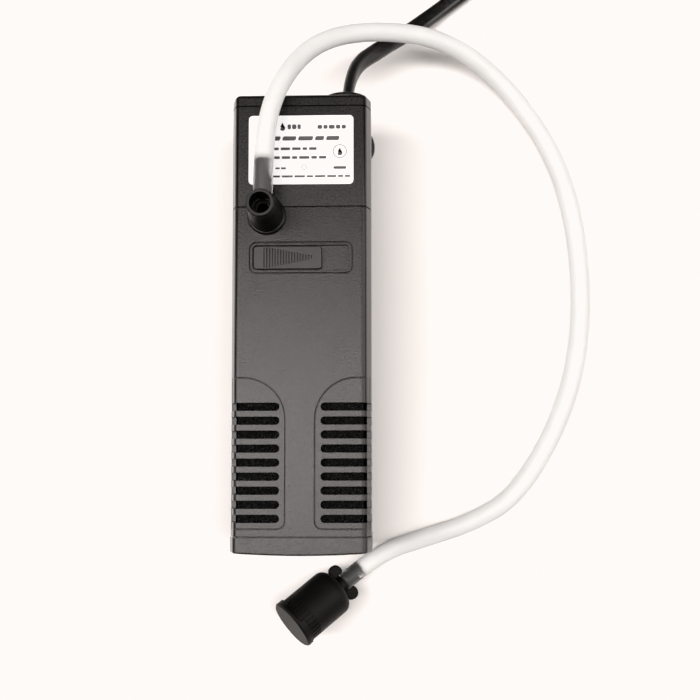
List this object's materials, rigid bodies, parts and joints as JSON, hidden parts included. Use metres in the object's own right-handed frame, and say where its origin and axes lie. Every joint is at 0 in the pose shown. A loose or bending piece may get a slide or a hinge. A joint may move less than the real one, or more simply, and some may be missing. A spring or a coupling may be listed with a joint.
{
  "type": "fountain submersible pump",
  "caption": "Small submersible pump in a slotted filter case, with an upright outlet, a venturi air hose with silencer, suction-cup feet and a plugged lead.",
  "frame": {"origin": "bottom centre of the pump's own box, without its lead and hose; z = 0 is the plane of the suction cups' rims, and the pump lies on its back", "axes": "+Z out of the front face along the outlet, +Y along the body towards the cable end, +X to the side where the air hose lies"},
  "size_m": [0.1189, 0.3078, 0.059],
  "materials": {
    "head_plastic": "satin moulded ABS, near black",
    "case_plastic": "fine-textured moulded ABS, near black",
    "nozzle_plastic": "satin moulded, black",
    "slider_plastic": "satin moulded, black",
    "rubber_black": "matt black rubber",
    "label_film": "matt silver-grey film with dark print",
    "core_steel": "varnished laminations",
    "bobbin_nylon": "natural nylon",
    "copper_wire": "enamelled copper winding",
    "lead_copper": "tinned copper ends and crimps",
    "resin": "dark potting resin",
    "magnet": "dark ferrite",
    "impeller_plastic": "pale moulded",
    "shaft_ceramic": "white ceramic",
    "bush_rubber": "black bushes",
    "sponge": "open-cell foam, dark grey",
    "silencer_plastic": "satin moulded, black",
    "felt": "white felt",
    "clear_hose": "milky clear silicone",
    "lead_sheath": "satin black PVC flat twin",
    "tie": "black strap",
    "plug_plastic": "moulded black PVC",
    "pin_metal": "nickel-plated brass"
  },
  "bodies": {
    "pump": {"air_tube": "clear_hose", "bottom_cap": "case_plastic", "cable_grommet": "rubber_black", "chamber_o_ring": "rubber_black", "coil_bobbin": "bobbin_nylon", "coil_winding": "copper_wire", "cord_tie": "tie", "crimp_sleeves": "lead_copper", "filter_body": "case_plastic", "filter_sponge": "sponge", "impeller_shaft": "shaft_ceramic", "intake_cover": "case_plastic", "lead_wires": "lead_copper", "motor_housing": "head_plastic", "mounting_bracket": "case_plastic", "outlet_nozzle": "nozzle_plastic", "outlet_o_ring": "rubber_black", "plug_body": "plug_plastic", "plug_pin_sleeves": "plug_plastic", "plug_pins": "pin_metal", "plug_strain_relief": "plug_plastic", "potting_resin": "resin", "power_cord_coil": "lead_sheath", "power_cord_run": "lead_sheath", "power_cord_tail": "lead_sheath", "rating_label": "label_film", "shaft_bush_bottom": "bush_rubber", "shaft_bush_top": "bush_rubber", "silencer_barb": "silencer_plastic", "silencer_body": "silencer_plastic", "silencer_cap": "silencer_plastic", "silencer_felt": "felt", "sponge_grid": "case_plastic", "stator_core": "core_steel", "suction_cups": "rubber_black", "top_cap": "head_plastic", "venturi_insert": "nozzle_plastic", "volute_housing": "case_plastic"},
    "rotor": {"rotor_magnet": "magnet", "impeller": "impeller_plastic"},
    "slider": {"flow_slider": "slider_plastic", "slider_clip": "slider_plastic"},
    "knob": {"silencer_knob": "silencer_plastic"}
  },
  "joints": [
    {"name": "rotor_spin", "type": "hinge", "parent": "pump", "child": "rotor", "pos_m": [-0.004, 0.045, 0.024], "axis": [0, 1, 0], "continuous": true},
    {"name": "flow_slide", "type": "slide", "parent": "pump", "child": "slider", "axis": [1, 0, 0], "range_m": [0, 0.0083]},
    {"name": "air_knob_turn", "type": "hinge", "parent": "pump", "child": "knob", "pos_m": [0.01161, -0.08503, 0.00894], "axis": [0.7284, 0.5827, -0.3605], "range_deg": [0, 270]}
  ]
}
